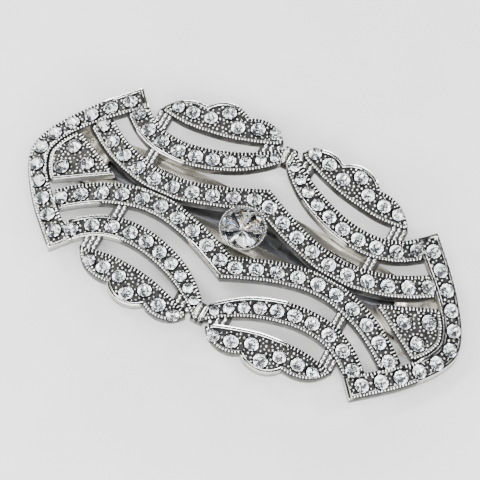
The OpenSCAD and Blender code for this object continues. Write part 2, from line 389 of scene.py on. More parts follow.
def ramp(t, fac, stops):
    r = t.nodes.new("ShaderNodeValToRGB")
    el = r.color_ramp.elements
    while len(el) < len(stops):
        el.new(0.5)
    for e, (pos, col) in zip(el, stops):
        e.position = pos
        e.color = (*col, 1) if len(col) == 3 else col
    t.links.new(fac, r.inputs["Fac"])
    return r.outputs["Color"]


def spread(t, fac, a, b, lo=0.0, hi=1.0):
    r = t.nodes.new("ShaderNodeMapRange")
    for k, v in (("From Min", lo), ("From Max", hi), ("To Min", a), ("To Max", b)):
        r.inputs[k].default_value = v
    t.links.new(fac, r.inputs["Value"])
    return r.outputs["Result"]


def calc(t, op, a, b):
    m = t.nodes.new("ShaderNodeMath")
    m.operation = op
    for i, v in enumerate((a, b)):
        if isinstance(v, (int, float)):
            m.inputs[i].default_value = v
        else:
            t.links.new(v, m.inputs[i])
    return m.outputs[0]


def bump(t, b, fac, strength, distance):
    n = t.nodes.new("ShaderNodeBump")
    n.inputs["Strength"].default_value = strength
    n.inputs["Distance"].default_value = distance
    t.links.new(fac, n.inputs["Height"])
    t.links.new(n.outputs["Normal"], b.inputs["Normal"])


def silver(name, dark=1.0, bright=(0.80, 0.79, 0.765), rough=0.2):
    """Rhodium-bright metal darkened by a per-vertex attribute: black antiquing in the hollows, plus painted shade on
    the cast plate's edges that face away from the viewer.
    """
    m, t, b = new_material(name)
    vec = coords(t)
    at = t.nodes.new("ShaderNodeAttribute")
    at.attribute_name = "patina_and_shade"
    n1 = noise(t, vec, 900, 4)
    n2 = noise(t, vec, 5200, 2)
    wob = calc(t, "MULTIPLY", calc(t, "SUBTRACT", n1, 0.5), 0.28)
    fac = calc(t, "ADD", calc(t, "MULTIPLY", at.outputs["Fac"], dark), wob)
    col = ramp(t, fac, [(0.12, bright), (0.42, tuple(c * 0.62 for c in bright)),
                        (0.68, (0.10, 0.098, 0.092)), (0.9, (0.018, 0.018, 0.019))])
    t.links.new(col, b.inputs["Base Color"])
    t.links.new(calc(t, "ADD", spread(t, fac, rough, 0.55, 0.2, 0.95),
                     calc(t, "MULTIPLY", n2, 0.06)), b.inputs["Roughness"])
    b.inputs["Metallic"].default_value = 1.0
    bump(t, b, n2, 0.12, 0.00002)
    return m


def brushed(name, base, rough, grain=(40, 1400, 1400), streak=0.16):
    """Rolled strip metal with fine streaks along its length and faint smudges."""
    m, t, b = new_material(name)
    s = noise(t, coords(t, grain), 1.0, 5, 0.6)
    smudge = noise(t, coords(t), 160, 3)
    lo, hi = tuple(c * 0.93 for c in base), tuple(min(1, c * 1.05) for c in base)
    t.links.new(ramp(t, calc(t, "ADD", calc(t, "MULTIPLY", s, 0.6), calc(t, "MULTIPLY", smudge, 0.4)),
                     [(0.3, lo), (0.7, hi)]), b.inputs["Base Color"])
    t.links.new(calc(t, "ADD", spread(t, s, rough - streak / 2, rough + streak / 2, 0.3, 0.7),
                     calc(t, "MULTIPLY", smudge, 0.05)), b.inputs["Roughness"])
    b.inputs["Metallic"].default_value = 1.0
    bump(t, b, s, 0.05, 0.00002)
    return m


def crystal(name, ior=1.62):
    """Clear lead glass with a faint flaw cloud."""
    m, t, b = new_material(name)
    n = noise(t, coords(t), 700, 2)
    t.links.new(ramp(t, n, [(0.3, (0.965, 0.975, 0.985)), (0.7, (1, 1, 1))]),
                b.inputs["Base Color"])
    t.links.new(spread(t, n, 0.0, 0.02, 0.45, 0.8), b.inputs["Roughness"])
    b.inputs["Transmission Weight"].default_value = 1.0
    b.inputs["IOR"].default_value = ior
    b.inputs["Specular IOR Level"].default_value = 0.15
    return m


def foil(name, painted_fire=0.0, rough=0.10):
    """Silvered back of a stone with painted reflections: each facet gets a painted light or dark tone through a
    per-face attribute, and the centre stone's ramp adds painted gold and blue fire at its top end.
    """
    m, t, b = new_material(name)
    at = t.nodes.new("ShaderNodeAttribute")
    at.attribute_name = "painted_facet_light"
    n = noise(t, coords(t), 2600, 2)
    fac = calc(t, "ADD", at.outputs["Fac"], calc(t, "MULTIPLY", calc(t, "SUBTRACT", n, 0.5), 0.25))
    # painted reflections: per-facet tones from near black to white; the centre stone's ramp also ends in painted gold
    # and blue fire
    if painted_fire:
        stops = [(0.0, (0.03, 0.032, 0.04)), (0.25, (0.34, 0.35, 0.38)), (0.55, (0.95, 0.955, 0.96)),
                 (0.86, (0.97, 0.97, 0.96)), (0.93, (0.96, 0.80, 0.45)), (0.985, (0.45, 0.58, 0.94))]
    else:
        stops = [(0.0, (0.18, 0.185, 0.20)), (0.35, (0.76, 0.77, 0.79)), (0.6, (0.98, 0.98, 0.985))]
    t.links.new(ramp(t, fac, stops), b.inputs["Base Color"])
    b.inputs["Metallic"].default_value = 1.0
    b.inputs["Roughness"].default_value = rough
    return m


MAT_CAST = silver("antique_cast_silver")
MAT_BEAD = silver("millgrain_silver", 0.85, (0.86, 0.85, 0.83), 0.16)
MAT_RIM = silver("polished_rim_silver", 0.7, (0.86, 0.855, 0.84), 0.12)
MAT_GLASS = crystal("clear_crystal")
MAT_FOIL = foil("stone_foil")
MAT_FOIL_BIG = foil("centre_stone_foil", 1.0, 0.14)
MAT_GLASS_BIG = crystal("centre_crystal", 1.46)
# painted shade: the plated steel and the spring strip are darker than these metals' own tone, so the fitting seen
# through the slots reads as shade
MAT_NICKEL_SHADE_DARKENED = brushed("nickel_plated_steel_shade_darkened", (0.44, 0.42, 0.36), 0.22, streak=0.10)
MAT_SPRING_SHADE_DARKENED = brushed("spring_steel_strip_shade_darkened", (0.17, 0.173, 0.182), 0.2, streak=0.10)
MAT_RIVET = brushed("rivet_steel", (0.6, 0.59, 0.57), 0.34, (900, 900, 900))


# ---------------------------------------------------------------- mesh helpers
def build(name, verts_mm, faces, mats, face_mat=None, smooth=None, attrs=None, angle=None):
    """A mesh object from millimetre points. attrs: {name: per-vertex or per-face floats}."""
    me = bpy.data.meshes.new(name)
    me.from_pydata((np.asarray(verts_mm, float) * MM).tolist(), [], faces)
    for m in mats:
        me.materials.append(m)
    if face_mat is not None:
        me.polygons.foreach_set("material_index", np.asarray(face_mat, np.int32))
    for key, vals in (attrs or {}).items():
        dom = "POINT" if len(vals) == len(me.vertices) else "FACE"
        a = me.attributes.new(key, "FLOAT", dom)
        a.data.foreach_set("value", np.asarray(vals, np.float32))
    me.polygons.foreach_set("use_smooth", np.full(len(me.polygons), bool(smooth)))
    me.update()
    if angle is not None:
        me.set_sharp_from_angle(angle=math.radians(angle))
    ob = bpy.data.objects.new(name, me)
    bpy.context.scene.collection.objects.link(ob)
    return ob


def copies(template_v, template_f, origins, bases):
    """Template copies: vertex = origin + base columns @ v."""
    tv = np.asarray(template_v, float)
    pts = np.einsum("nij,kj->nki", bases, tv) + origins[:, None, :]
    k = len(tv)
    faces = [[i + n * k for i in f] for n in range(len(origins)) for f in template_f]
    return pts.reshape(-1, 3), faces


def dome(seg=8, rings=3, below=0.35):
    """Unit bead: a ball cut off a little under its middle."""
    v, f = [(0, 0, 1)], []
    zs = [math.cos(math.radians(a)) for a in np.linspace(90 * 0.36, 90 + 20, rings)]
    for r, z in enumerate(zs):
        w = math.sqrt(max(0, 1 - z * z))
        for s in range(seg):
            a = 2 * math.pi * (s + 0.5 * (r % 2)) / seg
            v.append((w * math.cos(a), w * math.sin(a), z))
    for s in range(seg):
        f.append([0, 1 + s, 1 + (s + 1) % seg])
    for r in range(rings - 1):
        o, p = 1 + r * seg, 1 + (r + 1) * seg
        for s in range(seg):
            s2 = (s + 1) % seg
            if r % 2 == 0:
                f += [[o + s, p + s, o + s2], [o + s2, p + s, p + s2]]
            else:
                f += [[o + s, p + s, p + s2], [o + s, p + s2, o + s2]]
    return np.array(v), f


def rib(seg=6, stations=5):
    """Unit rounded bar along X, from -1 to 1, half width 1 in Y, top at Z = 1."""
    v, f = [], []
    xs = [-1, -0.86, -0.55, 0.55, 0.86, 1]
    ks = [0.35, 0.78, 1, 1, 0.78, 0.35]
    for x, k in zip(xs, ks):
        for s in range(seg + 1):
            a = math.pi * s / seg
            v.append((x, k * math.cos(a), k * math.sin(a) - 0.0))
    n = seg + 1
    for i in range(len(xs) - 1):
        for s in range(seg):
            a = i * n + s
            f.append([a, a + n, a + n + 1, a + 1])
    f.append([s for s in range(n)])
    f.append([(len(xs) - 1) * n + s for s in reversed(range(n))])
    return np.array(v), f


# ---------------------------------------------------------------- cast plate
# height above the stone bed against depth inside a panel's edge
BED_H = 0.22
PROFILE_D = [-0.25, -0.08, 0.0, 0.04, 0.10, 0.19, 0.25, 0.38, 0.44, 0.50, 0.55, 0.59, 0.66, 0.71, 0.80, 0.88]
PROFILE_H = [0.22, 0.04, 0.20, 0.26, 0.29, 0.29, 0.29, 0.29, 0.29, 0.29, 0.44, 0.54, 0.54, 0.42, 0.12, BED_H]
FAR_H = [0.22, 0.04, 0.16, 0.20, 0.22, 0.22, 0.22, 0.22, 0.22, 0.22, 0.22, 0.22, 0.22, 0.2, 0.16, BED_H]
PLAIN_H = [0.22, 0.04, 0.40, 0.52, 0.58, 0.55, 0.30, 0.28, 0.46, 0.54, 0.56, 0.54, 0.36, 0.16, 0.12, BED_H]
LEVELS = [0.04, 0.10, 0.19, 0.25, 0.38, 0.44, 0.50, 0.55, 0.59, 0.66, 0.71, 0.80, 0.88]
# black antiquing against the same depth: 1 is black, 0 is bright metal; the far-edge row paints the edges that face
# away from the viewer all black, as painted shade
BED_P = 0.84
PATINA = [0.80, 1.0, 0.75, 0.92, 0.95, 0.95, 0.95, 0.95, 0.95, 0.95, 0.5, 0.08, 0.08, 0.55, 1.0, BED_P]
# painted shade: edges facing away from the viewer are black all across, where the near edges keep a bright rim
FAR_SHADE_P = [0.80, 1.0, 0.85, 0.95, 1.0, 1.0, 1.0, 1.0, 1.0, 1.0, 1.0, 1.0, 1.0, 1.0, 1.0, BED_P]
PLAIN_P = [0.80, 1.0, 0.45, 0.05, 0.0, 0.05, 0.85, 0.95, 0.5, 0.1, 0.0, 0.1, 0.7, 1.0, 1.0, BED_P]
ARM_Y = [0, 3.6, 7, 10.2, 13.3, 16.4, 19]          # centre line of a chevron: |y| and |x|
ARM_X = [41.4, 40.3, 38, 35.2, 32, 28.6, 25.6]
UPWARD = np.array([-0.476, 0.880])     # across the clip, away from the viewer
# edges finished as a plain polished line: panel, side in x, side in y, edge facing +y or -y, |x| from, to
PLAIN_EDGES = [(4, -1, -1, -1, 19, 32), (4, 1, -1, 1, 1, 13), (4, 1, 1, -1, 6, 17), (4, -1, 1, -1, 16, 27),
               (4, -1, -1, 1, 22, 29), (2, -1, 1, 1, 12.5, 26), (2, 1, 1, 1, 2, 16.5), (2, 1, -1, 1, 3, 16),
               (2, 1, -1, -1, 9.8, 17.2), (2, -1, -1, -1, 9.8, 17.2), (3, -1, -1, -1, 26, 35),
               (3, -1, -1, -1, 0.1, 8)]


def smooth_zone(x, y):
    """1 where the rim is a plain polished edge instead of millgrain."""
    x, y = np.asarray(x, float), np.asarray(y, float)
    ax, ay = np.abs(x), np.abs(y)
    panel = panel_at(x, y)
    chev = panel == 0
    z = chev & (ax - 28.6 + (ay - 16.4) * -0.9 < 0.72) & (ay > 13.5)                              # cut ends
    z |= (x < -25.2) & (x > -31.5) & (y < 0) & (ay - 11.4 > (ax - 26.2) * 0.81 + 0.9) & ~chev     # run from the end to the leaf
    z |= (ax < 0.95) & (ay > 15) & (ay < 19)                                                      # junction facets
    z |= chev & (y > -8) & (x > np.interp(ay, ARM_Y, ARM_X) + 0.4)                                # outer side, right end
    z |= chev & (x < 0) & (y > 12.2) & (ax > np.interp(ay, ARM_Y, ARM_X) + 0.4)                   # outer side, upper left arm
    z |= chev & (x > 0) & (y > -4.5) & (y < 13) & (x < np.interp(ay, ARM_Y, ARM_X) - 0.4)         # inner side, right end
    low = y - 0.545 * (x + 26.3)
    z |= (x < -26.0) & (x > -36.4) & (low > -0.4) & (low < 0.95) & (y < 0.2) & ~chev              # left panel's lower edge
    face = -uphill(D, x, y, 0.15)[..., 1]
    for p, sx, sy, way, a, b in PLAIN_EDGES:
        z |= (panel == p) & (x * sx > a) & (x * sx < b) & (y * sy > 0) & (face * way > 0.15)
    return z


def far_side(x, y):
    """1 on the edges that face away from the viewer, which carry ribs across a ledge painted black as shade."""
    out = -uphill(D, x, y, 0.15)
    seam = sample(D, x + out[..., 0] * 0.8, y + out[..., 1] * 0.8) > -0.12
    return (out @ UPWARD > 0.12) & ~seam


def by_edge(x, y, plain, far, near):
    """One of three profiles at each point, after the kind of edge it belongs to."""
    d = sample(D, x, y)
    h = np.where(far_side(x, y), np.interp(d, PROFILE_D, far), np.interp(d, PROFILE_D, near))
    return np.where(smooth_zone(x, y), np.interp(d, PROFILE_D, plain), h)


def height(x, y):
    return by_edge(x, y, PLAIN_H, FAR_H, PROFILE_H)


def cdt(points, edges):
    out = delaunay_2d_cdt([Vector(p) for p in points.tolist()], edges, [], 0, 1e-5)
    v = np.array([(p.x, p.y) for p in out[0]])
    f = np.array([t for t in out[2] if len(t) == 3])
    return v, f


def add_line(pts, eds, line, loop):
    o = len(pts)
    pts.extend(line.tolist())
    eds.extend((o + i, o + i + 1) for i in range(len(line) - 1))
    if loop:
        eds.append((o + len(line) - 1, o))


def front_casting():
    pts, eds = [], []
    for line, loop in contours(U, 0.0):
        add_line(pts, eds, thin_loop(line, loop), loop)
    for level in LEVELS:
        for line, loop in contours(D, level):
            add_line(pts, eds, thin_loop(line, loop), loop)
    for level in (-0.08, -0.25):
        for line, loop in contours(D, level):
            ok = sample(U, line[:, 0], line[:, 1]) < -0.09
            if ok.all():
                add_line(pts, eds, thin_loop(line, loop), loop)
                continue
            start = int(np.argmin(ok))
            line, ok = np.roll(line, -start, 0), np.roll(ok, -start)
            run = []
            for p, k in zip(line, ok):
                if k:
                    run.append(p)
                elif len(run) > 2:
                    add_line(pts, eds, thin(np.array(run), 0.006), False)
                    run = []
                else:
                    run = []
            if len(run) > 2:
                add_line(pts, eds, thin(np.array(run), 0.006), False)
    # drilled seats under the stones
    seats = []
    for x, y, d in ALL_STONES:
        for r, drop, dark in ((d / 2 + 0.2, BED_H, BED_P), (d / 2 + 0.09, 0.02, 1.0), (0.36 * d, -1.0, 1.0)):
            a = np.arange(22) * math.tau / 22
            ring = np.stack([x + r * np.cos(a), y + r * np.sin(a)], 1)
            ring = ring[sample(D, ring[:, 0], ring[:, 1]) > (0.9 if dark < 1 else 0.0)]
            if len(ring) == 22:
                add_line(pts, eds, ring, True)
            elif len(ring):
                pts.extend(ring.tolist())
            seats.append((x, y, r, drop, dark))
    # a sparse net keeps the arch round across wide beds
    net = np.stack(np.meshgrid(np.arange(-43, 43.1, 1.0), np.arange(-22, 22.1, 1.1), indexing="ij"), -1).reshape(-1, 2)
    d, u = sample(D, net[:, 0], net[:, 1]), sample(U, net[:, 0], net[:, 1])
    away = np.linalg.norm(net[:, None] - ALL_STONES[None, :, :2], axis=2) - ALL_STONES[None, :, 2] * 0.5 - 0.2
    net = net[((d > 1.0) | ((u < -0.35) & (d < -0.35))) & (away.min(1) > 0.1)]
    pts.extend(net.tolist())
    v, f = cdt(np.array(pts), eds)
    mid = v[f].mean(1)
    f = f[sample(U, mid[:, 0], mid[:, 1]) < 0]
    area = ((v[f[:, 1]] - v[f[:, 0]])[:, 0] * (v[f[:, 2]] - v[f[:, 0]])[:, 1]
            - (v[f[:, 1]] - v[f[:, 0]])[:, 1] * (v[f[:, 2]] - v[f[:, 0]])[:, 0])
    f = np.where((area < 0)[:, None], f[:, ::-1], f)
    used = np.unique(f)
    remap = np.full(len(v), -1)
    remap[used] = np.arange(len(used))
    v, f = v[used], remap[f]
    h = height(v[:, 0], v[:, 1])
    # antiquing and polished metal per vertex; the far edges take the painted-shade row
    patina_and_shade = by_edge(v[:, 0], v[:, 1], PLAIN_P, FAR_SHADE_P, PATINA)
    for x, y, r, drop, dark in seats:
        if dark == 1.0:
            near = np.hypot(v[:, 0] - x, v[:, 1] - y) < r + 0.01
            h[near] = drop
            patina_and_shade[near] = 1.0
    # boundary edges, in the order their triangles use them
    e = np.concatenate([f[:, [0, 1]], f[:, [1, 2]], f[:, [2, 0]]])
    keys = {tuple(x) for x in e.tolist()}
    rim = [(a, b) for a, b in e.tolist() if (b, a) not in keys]
    ring = sorted({i for x in rim for i in x})
    index = {i: k for k, i in enumerate(ring)}
    top = np.stack([v[:, 0], v[:, 1], ZC + np.sqrt((R_BED + h) ** 2 - v[:, 0] ** 2)], 1)
    rv = v[ring]

    def layer(r):
        return np.stack([rv[:, 0], rv[:, 1], ZC + np.sqrt(r * r - rv[:, 0] ** 2)], 1)

    # back: the same outline with a sparse net
    bp = rv.tolist()
    be = [(index[a], index[b]) for a, b in rim]
    u = sample(U, net[:, 0], net[:, 1])
    bnet = net[(u < -0.5)]
    bv, bf = cdt(np.array(bp + bnet.tolist()), be)
    bm_mid = bv[bf].mean(1)
    bf = bf[sample(U, bm_mid[:, 0], bm_mid[:, 1]) < 0]
    ba = ((bv[bf[:, 1]] - bv[bf[:, 0]])[:, 0] * (bv[bf[:, 2]] - bv[bf[:, 0]])[:, 1]
          - (bv[bf[:, 1]] - bv[bf[:, 0]])[:, 1] * (bv[bf[:, 2]] - bv[bf[:, 0]])[:, 0])
    bf = np.where((ba > 0)[:, None], bf[:, ::-1], bf)
    n = len(top)
    low = layer(R_BACK + 0.18)
    verts = [top, low]
    back = np.stack([bv[:, 0], bv[:, 1], ZC + np.sqrt(R_BACK ** 2 - bv[:, 0] ** 2)], 1)
    m = n + len(low)
    # pull the back's own ring in a little, so the lower edge is eased
    pull = np.zeros((len(rv), 2))
    g = uphill(U, rv[:, 0], rv[:, 1])
    pull -= g * 0.12
    k = len(rv)
    back[:k, :2] += pull
    verts.append(back)
    faces = f.tolist()
    for a, b in rim:
        ia, ib = index[a], index[b]
        faces.append([b, a, n + ia, n + ib])
        faces.append([n + ib, n + ia, m + ia, m + ib])
    faces += (bf + m).tolist()
    pat = np.concatenate([patina_and_shade, np.full(len(low), 0.62), np.full(len(back), 0.33)])
    ob = build("cast_front_plate", np.vstack(verts), faces, [MAT_CAST], smooth=True,
               attrs={"patina_and_shade": pat}, angle=32)
    return ob


def at_height(x, y, h):
    x = np.asarray(x, float)
    z, n = arch_frame(x, R_BED + h)
    return np.stack([x, y, z], -1), n


def edge_marks(pitch, ribs):
    """Millgrain along the panel edges: round beads on the near edges, ribs on the far ones."""
    marks = []
    for line, loop in contours(D, 0.325):
        if not loop:
            continue
        q = np.vstack([line, line[:1]])
        s = np.concatenate([[0], np.cumsum(np.linalg.norm(np.diff(q, axis=0), axis=1))])
        count = max(4, int(round(s[-1] / pitch)))
        at = (np.arange(count) + 0.5) * s[-1] / count
        x, y = np.interp(at, s, q[:, 0]), np.interp(at, s, q[:, 1])
        out = -uphill(D, x, y, 0.15)
        ok = ~smooth_zone(x, y) & (far_side(x, y) == ribs)
        marks += [(x[k], y[k], out[k, 0], out[k, 1]) for k in np.nonzero(ok)[0]]
    return np.array(marks)


def oriented(p, height_above, scale, lengthwise=None):
    x, y, ox, oy = p.T
    o, n = at_height(x, y, height_above)
    e1 = np.stack([ox, oy, np.zeros_like(ox)], -1)
    e1 -= n * (e1 * n).sum(1)[:, None]
    e1 /= np.linalg.norm(e1, axis=1)[:, None]
    e2 = np.cross(n, e1)
    b = np.stack([e1 * scale[0], e2 * scale[1], n * scale[2]], -1)
    return o, b


def grains():
    """Raised setting grains that fill the beds round the stones."""
    xs = (np.arange(2 * NX + 1) - NX) * STEP
    ys = (np.arange(2 * NY + 1) - NY) * STEP
    i, j = np.nonzero(D > 0.84)
    p = np.stack([xs[i], ys[j]], 1)
    gap = np.full(len(p), 1e9)
    for x, y, d in ALL_STONES:
        np.minimum(gap, np.hypot(p[:, 0] - x, p[:, 1] - y) - d / 2, out=gap)
    cc = np.hypot(p[:, 0] + 0.6, p[:, 1] - 0.2) - 4.4
    ok = (gap > 0.3) & (cc > 0.1)
    p, gap = p[ok], gap[ok]
    order = np.lexsort((p[:, 1], p[:, 0], np.round(np.abs(gap - 0.38), 2)))
    taken, cells = [], {}
    skip = random.Random(11)
    for k in order.tolist():
        x, y = p[k]
        if gap[k] > 0.75 and skip.random() < 0.35:
            continue
        cx, cy = int(x // 0.68), int(y // 0.68)
        if any((x - a) ** 2 + (y - b) ** 2 < 0.68 ** 2
               for u in (cx - 1, cx, cx + 1) for w in (cy - 1, cy, cy + 1)
               for a, b in cells.get((u, w), ())):
            continue
        cells.setdefault((cx, cy), []).append((x, y))
        taken.append((x, y, gap[k]))
    return np.array(taken)


casting = front_casting()
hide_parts("front_casting")
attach(casting, "frame")

bead_p, tooth_p = edge_marks(0.575, False), edge_marks(0.66, True)
dv, df = dome()
v, f = copies(dv, df, *oriented(bead_p, 0.31, (0.255, 0.24, 0.28)))
pat = np.tile(np.clip(0.75 - dv[:, 2] * 0.95, 0, 1), len(bead_p))
beads = build("millgrain_beads", v, f, [MAT_BEAD], smooth=True, attrs={"patina_and_shade": pat})
rv, rf = rib()
shifted = tooth_p.copy()
shifted[:, 0] -= tooth_p[:, 2] * 0.07
shifted[:, 1] -= tooth_p[:, 3] * 0.07
v, f = copies(rv, rf, *oriented(shifted, 0.2, (0.38, 0.175, 0.36)))
pat = np.tile(np.clip(0.8 - rv[:, 2] * 0.95, 0, 1), len(tooth_p))
teeth = build("millgrain_ribs", v, f, [MAT_BEAD], smooth=True, attrs={"patina_and_shade": pat}, angle=50)
gr = grains()
rnd = random.Random(7)
rad = np.array([rnd.uniform(0.17, 0.31) for _ in range(len(gr))])
rad = np.minimum(rad, gr[:, 2] - 0.09)
o, n = at_height(gr[:, 0], gr[:, 1], 0.22)
e1 = np.stack([n[:, 2], 0 * n[:, 0], -n[:, 0]], -1)
e2 = np.tile([0.0, 1.0, 0.0], (len(gr), 1))
b = np.stack([e1 * rad[:, None], e2 * rad[:, None], n * (rad * 1.15)[:, None]], -1)
v, f = copies(dv, df, o, b)
pat = np.concatenate([np.clip(0.70 + rnd.uniform(0, 0.5) - dv[:, 2] * 0.8, 0, 1) for _ in range(len(gr))])
grain = build("setting_grains", v, f, [MAT_BEAD], smooth=True, attrs={"patina_and_shade": pat})
for piece in (beads, teeth, grain):
    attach(piece, "frame")


def bridge_ribs():
    """Rows of short cast nuggets across the bridges."""
    bars = []
    for xs, (y0, y1) in (((22.8, 23.75, 24.7), (11.0, 15.6)),
                         ((21.5, 22.5), (4.6, 8.2)),
                         ((2.3, 3.4, 4.5), (14.6, 18.6))):
        for x in xs:
            ys = np.linspace(y0, y1, 80)
            d, u = sample(D, np.full(80, x), ys), sample(U, np.full(80, x), ys)
            ok = (d < 0.03) & (u < -0.05)
            if ok.sum() < 3:
                continue
            lo, hi = ys[ok].min(), ys[ok].max()
            for a in (-1, 1):
                for b in (-1, 1):
                    n = max(1, round((hi - lo) / 0.95))
                    w = (hi - lo) / n
                    bars += [(a * x, b * (lo + (k + 0.5) * w), w * 0.47) for k in range(n)]
    # two polished ridges where the leaves and bands meet above and below the middle
    bars += [(a, b * 16.95, 1.55) for a in (-0.48, 0.48) for b in (-1, 1)]
    bars = np.array(bars)
    o, n = at_height(bars[:, 0], bars[:, 1], 0.12)
    e2 = np.stack([n[:, 2], 0 * n[:, 0], -n[:, 0]], -1)
    e1 = np.tile([0.0, 1.0, 0.0], (len(bars), 1))
    b = np.stack([e1 * bars[:, 2:3], -e2 * 0.36, n * 0.32], -1)
    v, f = copies(rv, rf, o, b)
    pat = np.concatenate([np.clip((0.5 if h > 1.5 else 1.0) - rv[:, 2] * 0.9, 0, 1) for h in bars[:, 2]])
    return build("bridge_ribs", v, f, [MAT_RIM], smooth=True, attrs={"patina_and_shade": pat}, angle=50)


ribs = bridge_ribs()
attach(ribs, "frame")


# ---------------------------------------------------------------- stones
def brilliant(rad, crown, pav, girdle, table=0.56, mid=0.80, low=0.36):
    """Round cut with 8-fold crown and pavilion. Girdle bottom at z = 0. Returns verts, faces, is_pavilion."""
    v, f, back = [], [], []
    c8 = math.cos(math.radians(22.5))

    def ring(r, z, n, turn):
        o = len(v)
        for k in range(n):
            a = math.radians(turn + 360 * k / n)
            v.append((r * math.cos(a), r * math.sin(a), z))
        return o

    rt, rm, rl = table * rad, mid * rad, low * rad
    t = ring(rt, girdle + crown, 8, 22.5)
    zm = girdle + crown * (rad - rm * c8) / (rad - rt)
    m = ring(rm, zm, 8, 0)
    g = ring(rad, girdle, 16, 0)
    h = ring(rad, 0, 16, 0)
    zl = -pav * (rad - rl * c8) / rad
    q = ring(rl, zl, 8, 0)
    v.append((0, 0, -pav))
    c = len(v) - 1
    f.append([t + k for k in range(8)])
    for k in range(8):
        k1, kp = (k + 1) % 8, (k - 1) % 8
        f.append([t + kp, m + k, t + k])
        f.append([t + k, m + k, g + 2 * k + 1, m + k1])
        f.append([m + k, g + (2 * k - 1) % 16, g + 2 * k])
        f.append([m + k, g + 2 * k, g + 2 * k + 1])
    for k in range(16):
        f.append([g + k, h + k, h + (k + 1) % 16, g + (k + 1) % 16])
    split = len(f)
    for k in range(8):
        k1 = (k + 1) % 8
        f.append([c, q + k1, h + 2 * k + 1, q + k])
        f.append([q + k, h + 2 * k, h + (2 * k - 1) % 16])
        f.append([q + k, h + 2 * k + 1, h + 2 * k])
    return np.array(v), f, np.arange(len(f)) >= split


def stone_group(name, seed):
    rnd = random.Random(seed)
    vs, fs, fm, painted_facet_tones, count = [], [], [], [], 0
    for x, y, d in STONES[name]:
        v, f, back = brilliant(d / 2 - 0.01, 0.46, 1.0, 0.09, rnd.uniform(0.50, 0.58),
                               rnd.uniform(0.77, 0.82), rnd.uniform(0.3, 0.42))
        a = rnd.uniform(0, math.tau)
        tilt = Matrix.Rotation(math.radians(rnd.uniform(-3.0, 3.0)), 3, "X") @ \
            Matrix.Rotation(math.radians(rnd.uniform(-3.0, 3.0)), 3, "Y")
        v = v @ np.array(tilt @ Matrix.Rotation(a, 3, "Z")).T
        z, n = arch_frame(np.float64(x), R_BED)
        e1 = np.array([n[2], 0, -n[0]])
        basis = np.stack([e1, [0, 1, 0], n], 1)
        w = v @ basis.T + np.array([x, y, z]) + n * 0.38
        vs.append(w)
        fs += [[i + count for i in q] for q in f]
        fm += back.astype(int).tolist()
        # painted reflections: each facet gets a random light or dark tone standing in for the sparkle
        painted_facet_tones += [rnd.choice((0.14, 0.36, 0.55, 0.7, 0.85, 0.9, 0.95)) for _ in f]
        count += len(v)
    return build(name.replace("stones", "rhinestones"), np.vstack(vs), fs, [MAT_GLASS, MAT_FOIL],
                 face_mat=fm, smooth=False, attrs={"painted_facet_light": painted_facet_tones})


for k, g in enumerate(GROUPS):
    ob = stone_group(g, 20 + k)
    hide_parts(g)
    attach(ob, "frame")

CX, CY, CG = -0.6, 0.2, 14.1
rnd = random.Random(5)


def starburst(rad, crown, girdle, pav, table, rays=24):
    """Round cut whose pavilion is pleated into rays that meet under the table."""
    v, f, back = brilliant(rad, crown, pav, girdle, table, 0.82)
    keep = [q for q, b in zip(f, back) if not b]
    v = v[:48].tolist()                            # table, crown and both girdle rings
    o = len(v)
    for k in range(rays):
        a = math.tau * k / rays
        r, z = (0.80, -0.30) if k % 2 else (0.74, -0.20)
        v.append((r * rad * math.cos(a), r * rad * math.sin(a), z * pav))
    v.append((0, 0, -pav))
    c = len(v) - 1
    under = [[c, o + (k + 1) % rays, o + k] for k in range(rays)]
    # the outer belt joins the pleats to the 16 points of the girdle
    i = j = 0
    while i < rays or j < 16:
        ring, edge = o + i % rays, 32 + j % 16
        if j >= 16 or (i < rays and (i + 1) * 16 <= (j + 1) * rays):
            under.append([ring, o + (i + 1) % rays, edge])
            i += 1
        else:
            under.append([ring, 32 + (j + 1) % 16, edge])
            j += 1
    return np.array(v), keep + under, np.arange(len(keep) + len(under)) >= len(keep)


v, f, back = starburst(4.05, 0.9, 0.3, 2.5, 0.58)
turn = math.radians(9)
# painted reflections: the pavilion's wedges alternate painted bright and dark tones
painted_wedge_tones = [0.66, 0.08, 0.74, 0.70, 0.60, 0.78, 0.04, 0.62, 0.72, 0.10, 0.76, 0.66, 0.55, 0.70, 0.78, 0.06,
         0.72, 0.60, 0.68]
painted_facet_tone = [painted_wedge_tones[k % len(painted_wedge_tones)] for k in range(len(f))]
first = int(np.argmax(back))
# three facets painted as gold and blue fire glints
for k, t in ((3, 0.93), (7, 0.93), (11, 0.985)):
    painted_facet_tone[first + k] = t
v = v @ np.array(Matrix.Rotation(turn, 3, "Z")).T + np.array([CX, CY, CG])
big = build("centre_brilliant", v, f, [MAT_GLASS_BIG, MAT_FOIL_BIG], face_mat=back.astype(int),
            smooth=False, attrs={"painted_facet_light": painted_facet_tone})
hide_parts("center_stone")
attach(big, "frame")


def lathe(name, profile, seg, mats, x, y, patina_and_shade, angle=35):
    v, f = [], []
    n = len(profile)
    for k in range(seg):
        a = math.tau * k / seg
        for r, z in profile:
            v.append((x + r * math.cos(a), y + r * math.sin(a), z))
    for k in range(seg):
        k2 = (k + 1) % seg
        for i in range(n):
            j = (i + 1) % n
            f.append([k * n + i, k2 * n + i, k2 * n + j, k * n + j])
    return build(name, v, f, mats, smooth=True, attrs={"patina_and_shade": np.tile(patina_and_shade, seg)}, angle=angle)


